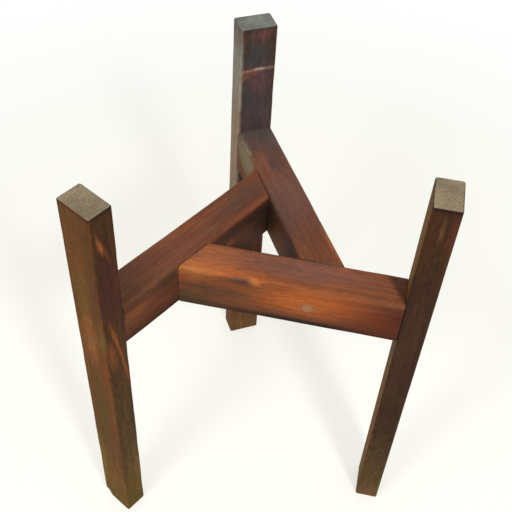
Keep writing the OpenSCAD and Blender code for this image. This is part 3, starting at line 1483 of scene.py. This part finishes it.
def add_piece(name: str, mesh: bpy.types.Mesh, node: str) -> bpy.types.Object:
    """Puts a finished mesh in the scene in place of its node.

    Args:
        name: The piece's name.
        mesh: Its mesh, in its place.
        node: The node that it stands for.

    Returns:
        The piece.
    """
    mesh.name = name
    piece = new_object(name, mesh)
    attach(piece, BODY)
    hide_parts(node)
    log.info("%s: %d faces", name, len(mesh.polygons))
    return piece


# ---- The stand ----


RAIL_STAIN = StainedTimber(
    slot="stained_rail", shades=("#2a170e", "#4c2c1c", "#70432a", "#985126", "#c46624"),
    end_shades=("#3e291c", "#6a4a36", "#94745a"), mottle="#6b3a24", mottle_share=0.3,
    ring_gap=4.2 * MM, streak=0.11, fibre=0.1, fleck=0.3, rubbed=0.05, arris_reach=4 * MM)
LEG_STAIN = StainedTimber(
    slot="stained_leg", shades=("#170c06", "#2c180c", "#472914", "#6c431c", "#a05b22"),
    end_shades=("#4a3e2e", "#85765e", "#ac9c7c"), mottle="#4c3c1c", mottle_share=0.25,
    ring_gap=3 * MM, streak=0.15, fibre=0.12, fleck=0.45, rubbed=0.02, arris_reach=3 * MM)
RAIL_PLUG = PlugWood(shades=("#8a5c38", "#a36f48", "#b8855a"))
LEG_PLUG = PlugWood(shades=("#683f18", "#825424", "#966632"))
ZINC = ZincSteel()

# Where each timber differs from the rest of its kind, as the photograph shows it. Some marks are painted
# shade, painted shadow or painted sheen rather than stain. In millimetres, a rail's faces lie at 19 across
# and 26 deep, and a leg's at 19 across and 12.5 deep.
RIGHT_RAIL_MARKS = (
    Mark("bright spot of the knot", (50, -19, 22), (7, 4, 5), 0.36, "#d08a48", 0.35, wobble=0.7),
    Mark("dark side of the knot", (38, -19, 21), (14, 6, 6), -0.26, "#5a4038", 0.5,
         softness=0.9, wobble=0.6),
    Mark("dull side at the gap", (8, -19, 1), (42, 7, 10), -0.22, "#5c402c", 0.35, wobble=0.6),
    # Painted highlight along the upper arris, over a lighter worn arris.
    Mark("pale upper arris", (24, -13, 26), (64, 8, 7), 0.22),
    Mark("pale corner at the gap", (-8, -17, 24), (28, 9, 11), 0.18, "#b87840", 0.35, wobble=0.5),
    Mark("pale top at the gap", (-5, 0, 26), (60, 32, 8), 0.3, "#96684e", 0.35),
    Mark("orange middle", (108, -20, 7), (58, 8, 20), 0.38, "#b8663c", 0.2, wobble=0.3),
    Mark("red stretch", (152, -20, 4), (44, 8, 24), 0.0, "#9a4016", 0.35, wobble=0.3),
    # Painted shade where the lower arris turns down, away from the lamps.
    Mark("dark lower edge", (90, -20, -30), (190, 14, 16), -0.75, softness=0.85, wobble=0.15),
    # Painted shade on the rail's end where it meets the leg, with a dark red tint.
    Mark("dark end at the leg", (196, -20, -8), (66, 14, 38), -0.66, "#662a14", 0.4, wobble=0.3),
    Mark("olive lower corner", (-16, -20, -18), (44, 8, 16), -0.1, "#3e3a24", 0.6),
    # Painted shadow: the dark leaning wedge that the right leg casts on the rail's top.
    Mark("dark wedge at the leg", (205, 0, 26), (29, 60, 14), -0.2, "#4a2c1e", 0.3,
         softness=0.2, wobble=0.05, lean=-0.633),
    Mark("red fleck", (128, 13, 26), (7, 4, 4), 0.15, "#b0583a", 0.4, softness=0.9, wobble=0.5),
    Mark("smear round the plug", (100.8, -20, 1), (9, 5, 7), 0.0, "#96683e", 0.65,
         softness=0.5, wobble=0.3),
    Mark("dull top", (98, 4, 26), (80, 18, 8), 0.04, "#7a564e", 0.6),
)
BACK_RAIL_MARKS = (
    Mark("pale rim of the dark spots", (137, 9, 26), (13, 8, 5), 0.04, "#96583c", 0.45, wobble=0.7),
    Mark("dark spots", (130, -2, 26), (13, 9, 4), -0.18, "#40363a", 0.55, wobble=0.9),
    Mark("dull top", (85, 0, 26), (62, 30, 8), -0.06, "#7c554c", 0.6, wobble=0.3),
    Mark("grey top at the leg", (188, 0, 26), (56, 46, 16), -0.06, "#524c4c", 0.85),
    Mark("dark gap arris", (64, 13, 26), (44, 11, 6), -0.22, "#5e463e", 0.5),
    # Painted sheen: a pale olive-grey reflection on the gap side near the back leg.
    Mark("olive side at the leg", (158, 19, 12), (38, 5, 23), 0.0, "#968866", 0.75, softness=0.7),
    # Painted shade on the upper part of the side that faces the gap.
    Mark("dark band under the arris", (50, 19, 18), (60, 5, 14), -0.1, "#4a3220", 0.4, softness=0.8),
    # Darker inner corner at the gap: painted shade, with some pooled stain.
    Mark("dark inner corner", (18, 19, 13), (19, 5, 15), -0.1, "#3a3028", 0.5, softness=0.9),
    # Painted shade in the middle of the side that faces the gap.
    Mark("dark middle of the side", (84, 19, 4), (26, 5, 30), -0.26, "#342e24", 0.6, softness=0.9),
    Mark("olive lower edge", (55, 19, -18), (34, 5, 14), 0.08, "#7e5626", 0.45, softness=0.9),
    Mark("pale outer arris", (5, -18, 26), (26, 4, 5), 0.16, "#b8764a", 0.4, softness=0.9),
)
LEFT_RAIL_MARKS = (
    Mark("red gap arris", (27, 17, 26), (40, 3, 5), 0.04, "#9c4c2a", 0.35, softness=0.8, wobble=0.5),
    # Painted shade on the upper part of the side that faces the gap.
    Mark("dark band under the arris", (28, 19, 17), (52, 5, 10), -0.2, "#3a2a22", 0.4,
         softness=0.7, wobble=0.3),
    Mark("red spot", (57, 19, 2), (9, 4, 6), 0.16, "#a05430", 0.4, softness=0.9, wobble=0.6),
    Mark("olive patch", (142, 20, 20), (17, 6, 8), -0.22, "#453a24", 0.5, softness=0.8),
    Mark("orange patch at the leg", (178, 20, 8), (28, 5, 9), 0.14, "#a8622c", 0.3,
         softness=0.9, wobble=0.6),
    Mark("red side", (160, 20, -6), (64, 5, 26), -0.06, "#783a18", 0.4),
    # Painted shade where the lower arris turns down, away from the lamps.
    Mark("dark lower edge", (120, 20, -28), (150, 8, 23), -0.46, softness=0.85, wobble=0.2),
    # Darker inner corner at the gap: painted shade, with some pooled stain.
    Mark("dark inner corner", (2, 19, 2), (28, 5, 26), -0.26, "#38302a", 0.6),
    Mark("red top", (120, 0, 26), (80, 30, 8), 0.08, "#7c4e42", 0.45),
    Mark("dull top at the gap", (16, 0, 26), (48, 15, 6), -0.16, "#5e443c", 0.5),
    Mark("pale outer arris", (102, -13, 26), (32, 8, 6), 0.22, "#8e5c3a", 0.3, wobble=0.5),
    Mark("olive top at the leg", (188, 0, 26), (46, 40, 12), -0.14, "#5a3e24", 0.5,
         softness=0.9, wobble=0.3),
)
RIGHT_LEG_MARKS = (
    # Painted sheen: the side that faces the rail is lightened as by a reflection at a grazing angle.
    Mark("thin stain towards the rail", (240, 0, 12.5), (330, 30, 0.8), 0.1, "#86602e", 0.6,
         softness=0.4, wobble=0.1),
    Mark("orange lower part", (130, 0, 12.5), (120, 30, 0.8), 0.0, "#885010", 0.85,
         softness=0.5, wobble=0.1),
    Mark("red side", (300, -19, 0), (120, 5, 18), 0.0, "#482a20", 0.45, wobble=0.5),
    # Painted shade on the leg's side beside the end of the rail.
    Mark("dark place at the rail", (345, -17, 12.5), (60, 9, 5), -0.3, "#3a241c", 0.8,
         softness=0.8, wobble=0.3),
    Mark("pale streak at the top", (452, -19, 0), (18, 4, 2.4), 0.1, "#7a5a30", 0.35,
         softness=0.9, wobble=0.6),
    Mark("red streak at the top", (446, -19, -9), (28, 5, 5), 0.06, "#5e2c1e", 0.5, wobble=0.8),
    Mark("pale foot", (4, -19, 0), (26, 6, 30), 0.2, "#8c6442", 0.3, wobble=0.5),
    Mark("olive foot", (0, 0, 0), (160, 60, 60), 0.18, "#6c5830", 0.45, wobble=0.5),
)
BACK_LEG_MARKS = (
    Mark("grey upper part", (350, 0, 12.5), (170, 30, 4), -0.02, "#4e4142", 0.85, softness=0.6, wobble=0.3),
    Mark("dark patch over the scratch", (446, 5, 12.5), (16, 17, 4), 0.0, "#383e3e", 0.7, wobble=0.9),
    Mark("red patch at the top", (467, -4, 12.5), (9, 12, 4), 0.0, "#744844", 0.5, wobble=0.9),
    Mark("red patch under the scratch", (412, -3, 12.5), (14, 14, 4), 0.0, "#6a4242", 0.5, wobble=0.9),
    Mark("dark patch under the scratch", (392, 10, 12.5), (16, 9, 4), 0.0, "#363c40", 0.5, wobble=0.9),
    Mark("red lower part", (190, 0, 12.5), (70, 30, 4), 0.02, "#5a3224", 0.6, softness=0.8, wobble=0.3),
    # Painted sheen: the side that faces the gap is lightened and greyed as by a reflection at a grazing
    # angle.
    Mark("grey side", (420, 19, 0), (70, 4, 30), 0.1, "#a09e90", 0.8, softness=0.8, wobble=0.3),
    Mark("pale side", (300, 19, 0), (130, 4, 30), 0.16, "#b89e84", 0.75, softness=0.8, wobble=0.3),
    Mark("scratch", (427, 0, 12.5), (2.4, 30, 3), 0.3, "#9a7462", 0.65,
         softness=0.9, wobble=0.5, lean=-0.04),
    Mark("bright middle of the scratch", (428, -1, 12.5), (2, 7, 3), 0.1, "#c0aea0", 0.6,
         softness=0.9, wobble=0.5),
    Mark("red side of the scratch", (423, 4, 12.5), (4, 6, 3), 0.1, "#964236", 0.4,
         softness=0.9, wobble=0.6),
    Mark("brown end of the scratch", (420, 14, 12.5), (6, 7, 3), 0.1, "#84563a", 0.5,
         softness=0.9, wobble=0.6),
    Mark("pale foot", (0, 0, 0), (70, 60, 60), 0.26, "#80603c", 0.55, wobble=0.3),
)
LEFT_LEG_MARKS = (
    Mark("thin stain on the outside", (240, 0, -12.5), (330, 30, 1), 0.07, "#78440e", 0.6,
         softness=0.6, wobble=0.1),
    Mark("orange patch", (310, -2, -12.5), (46, 12, 4), 0.27, "#a4642c", 0.45, wobble=0.9),
    Mark("red patch", (272, 13, -12.5), (26, 7, 4), -0.1, "#86400c", 0.5, wobble=0.9),
    Mark("dull patch", (378, 13, -12.5), (48, 9, 4), -0.22, "#62401c", 0.4, wobble=0.5),
    Mark("yellow patch", (90, -13, -12.5), (60, 7, 4), 0.06, "#8a7a1e", 0.4, wobble=0.6),
    Mark("olive patch", (372, -5, -12.5), (42, 11, 4), 0.02, "#6e5618", 0.6, wobble=0.9),
    Mark("olive arris", (318, 15, -12.5), (26, 5, 4), 0.0, "#6c6428", 0.5, wobble=0.9),
    Mark("dark olive stretch", (182, -2, -12.5), (84, 14, 4), -0.18, "#5c4808", 0.7, wobble=0.9),
    Mark("olive foot", (0, 0, 0), (130, 60, 60), 0.14, "#766216", 0.5, wobble=0.3),
    Mark("dull side", (160, 19, 0), (130, 5, 16), 0.08, "#665024", 0.45, wobble=0.7),
    Mark("dark red side", (385, 19, 3), (62, 5, 16), -0.02, "#50261f", 0.65, softness=0.9, wobble=0.3),
    Mark("upper flame", (441, 19, -4.5), (10, 4, 4), 0.5, "#a8522a", 0.45,
         softness=0.9, wobble=0.5, lean=-2.7),
    Mark("root of the upper flame", (429, 19, 0.5), (8, 4, 4.5), 0.26, "#8a4226", 0.3,
         softness=0.9, wobble=0.5, lean=-2.7),
    Mark("lower flame", (294, 19, -6), (24, 4, 6), 0.36, "#8c3e20", 0.45, wobble=0.5, lean=-1.5),
    Mark("thin flame above it", (318, 19, -1), (14, 4, 5), 0.34, "#a04a26", 0.4, wobble=0.5, lean=-4),
    Mark("thin flame beside it", (290, 19, 4), (14, 4, 4.5), 0.3, "#96462a", 0.35, wobble=0.5, lean=-7),
    Mark("low tip of the flames", (258, 19, 8), (18, 4, 4), 0.28, "#8a3c10", 0.3, wobble=0.5, lean=-6),
    Mark("olive side", (75, 19, 10), (84, 5, 8), 0.16, "#7e6434", 0.35, wobble=0.5),
)

# The face tones below are painted light, shade and sheen on whole faces.
RAIL_FACES = {
    Arm.RIGHT: TimberFace(pith=(0.02, -0.05, -0.036), seed=1.3, marks=RIGHT_RAIL_MARKS,
                          tones=(0.0, 0.1, 0.05, -0.2)),
    Arm.BACK: TimberFace(pith=(-0.03, 0.045, 0.05), seed=4.1, marks=BACK_RAIL_MARKS),
    Arm.LEFT: TimberFace(pith=(0.01, 0.06, -0.03), seed=8.6, marks=LEFT_RAIL_MARKS,
                         tones=(-0.08, 0.0, 0.0, 0.0)),
}
# The face tones below are painted light, shade and sheen on whole faces.
LEG_FACES = {
    Arm.RIGHT: TimberFace(pith=(0.01, 0.03, 0.04), seed=12.2, marks=RIGHT_LEG_MARKS,
                          tones=(0.0, -0.1, 0.08, 0.0)),
    Arm.BACK: TimberFace(pith=(-0.01, -0.05, 0.03), seed=15.7, marks=BACK_LEG_MARKS,
                         tones=(0.08, 0.0, 0.0, 0.0), end_shades=("#383b32", "#6e7168", "#969a8e")),
    Arm.LEFT: TimberFace(pith=(0.012, -0.045, -0.03), seed=19.4, marks=LEFT_LEG_MARKS,
                         tones=(0.02, 0.0, 0.0, 0.14),
                         knock=Knock(corner=(0, -1, -1), push=(4 * MM, 3.5 * MM, 2.5 * MM))),
}


class Stand:
    """The whole stand: three arms in a pinwheel."""

    def __init__(self) -> None:
        """Makes the shared rules and finishes, and finds every piece's place."""
        self.planed = TimberTree()
        self.turned = TurnedTree()
        self.figure = TimberFigure()
        self.steel = ZINC.material("zinc plating")
        self.rails = {arm: Rail(f"rail_{arm.label}", arm, RAIL_STAIN, RAIL_FACES[arm]) for arm in Arm}
        self.legs = {arm: Leg(f"leg_{arm.label}", arm, LEG_STAIN, LEG_FACES[arm]) for arm in Arm}
        self.side = {arm: Fastening(arm, "", Heading.SIDEWAYS, self.rails[arm].extent.size.y) for arm in Arm}
        self.outer = {arm: [Fastening(arm, place, Heading.OUTWARDS, self.legs[arm].extent.size.x)
                            for place in ("upper", "lower")] for arm in Arm}

    def build(self) -> None:
        """Builds every arm in turn."""
        for arm in Arm:
            own, behind = self.side[arm], self.side[arm.before]
            bores = [own.way(self.turned), behind.pilot(self.turned)]
            bores += [screw.pilot(self.turned) for screw in self.outer[arm]]
            self.rails[arm].build(self.planed, self.figure, bores)
            bores = [screw.way(self.turned) for screw in self.outer[arm]]
            self.legs[arm].build(self.planed, self.figure, bores)
            for fastening in (own, *self.outer[arm]):
                fastening.screw(self.turned, self.steel)
                fastening.plug(self.turned, RAIL_PLUG if fastening is own else LEG_PLUG)


# ---- The studio ----


@dataclass(frozen=True)
class Viewpoint:
    """The camera of the photograph.

    Args:
        eye: Where it stands.
        azimuth: How far round the stand it stands, in degrees from the front.
        elevation: How far it looks down, in degrees.
        roll: How far it is tipped to the side, in degrees.
        lens: Focal length on the sensor's width, in millimetres.
        sensor: The sensor's width, in millimetres.
        near: How near a thing may be and still be seen.
    """

    eye: Triple = (0.071717, -0.588623, 0.942626)
    azimuth: float = 8.745
    elevation: float = 47.468
    roll: float = 3.668
    lens: float = 60.696
    sensor: float = 36.0
    near: float = 0.02

    def build(self) -> bpy.types.Object:
        """Adds the camera and makes it the scene's.

        Returns:
            The camera.
        """
        a, e, r = (math.radians(v) for v in (self.azimuth, self.elevation, self.roll))
        back = Vector((math.sin(a) * math.cos(e), -math.cos(a) * math.cos(e), math.sin(e)))
        level = (-back).cross(UP).normalized()
        up = level.cross(-back)
        right = level * math.cos(r) + up * math.sin(r)
        up = up * math.cos(r) - level * math.sin(r)
        data = bpy.data.cameras.new("photo camera")
        data.sensor_fit = "HORIZONTAL"
        data.sensor_width = self.sensor
        data.lens = self.lens
        data.clip_start = self.near
        camera = new_object("photo camera", data)
        camera.matrix_world = frame_at(Vector(self.eye), right, up, back)
        bpy.context.scene.camera = camera
        return camera


@dataclass(frozen=True)
class Lamp:
    """A soft lamp that looks at the stand, or rather at TARGET in its middle.

    Args:
        name: Its name.
        place: Where it hangs.
        level: How bright it makes a white card that faces it.
        size: Width of its panel.
    """

    name: str
    place: Triple
    level: float
    size: float
    TARGET = Vector((0.0, 0.0, 0.25))

    def build(self) -> bpy.types.Object:
        """Adds the lamp.

        Returns:
            The lamp.
        """
        away = Vector(self.place) - self.TARGET
        data = bpy.data.lights.new(self.name, "AREA")
        data.shape = "DISK"
        data.size = self.size
        data.energy = self.level * math.pi ** 2 * away.length_squared
        lamp = new_object(self.name, data)
        lamp.matrix_world = Matrix.Translation(self.place) @ away.to_track_quat("Z", "Y").to_matrix().to_4x4()
        log.info("%s", self.name)
        return lamp


@dataclass(frozen=True)
class Studio:
    """Pale floor, soft lamps and white surroundings.

    Args:
        ambient: Brightness of the light that comes from all round.
        floor_size: Width of the floor.
        floor_cells: Cells of its mesh along each side.
        lamps: The lamps.
    """

    ambient: float = 0.46
    floor_size: float = 16.0
    floor_cells: int = 8
    lamps: tuple[Lamp, ...] = (
        Lamp("left lamp", (-0.524, -0.98, 1.25), level=0.27, size=0.4),
        Lamp("right lamp", (0.827, -1.246, 1.65), level=0.43, size=0.3))

    def build(self) -> None:
        """Adds the floor, the lamps and the world."""
        work = bmesh.new()
        bmesh.ops.create_grid(work, x_segments=self.floor_cells, y_segments=self.floor_cells,
                              size=self.floor_size / 2)
        mesh = bpy.data.meshes.new("floor")
        work.to_mesh(mesh)
        work.free()
        mesh.materials.append(PaleFloor().material("pale floor"))
        floor = new_object("floor", mesh)
        for lamp in self.lamps:
            lamp.build()
        world = bpy.data.worlds.new("white studio")
        world.use_nodes = True
        tree = world.node_tree
        camera, glossy, through = (run(tree, "ShaderNodeLightPath", output=name) for name in (
            "Is Camera Ray", "Is Glossy Ray", "Is Transmission Ray"))
        seen = camera.at_least(glossy).at_least(through)
        background = tree.nodes["Background"]
        feed(tree, background.inputs["Color"], (1.0, 1.0, 1.0, 1.0))
        feed(tree, background.inputs["Strength"], seen * (1.0 - self.ambient) + self.ambient)
        bpy.context.scene.world = world
        bpy.context.scene.view_settings.view_transform = "Standard"


def main() -> None:
    """Builds the camera, the stand and the studio."""
    logging.basicConfig(level=logging.INFO, format="%(name)s: %(message)s")
    Viewpoint().build()
    Stand().build()
    Studio().build()


if __name__ == "__main__":
    main()
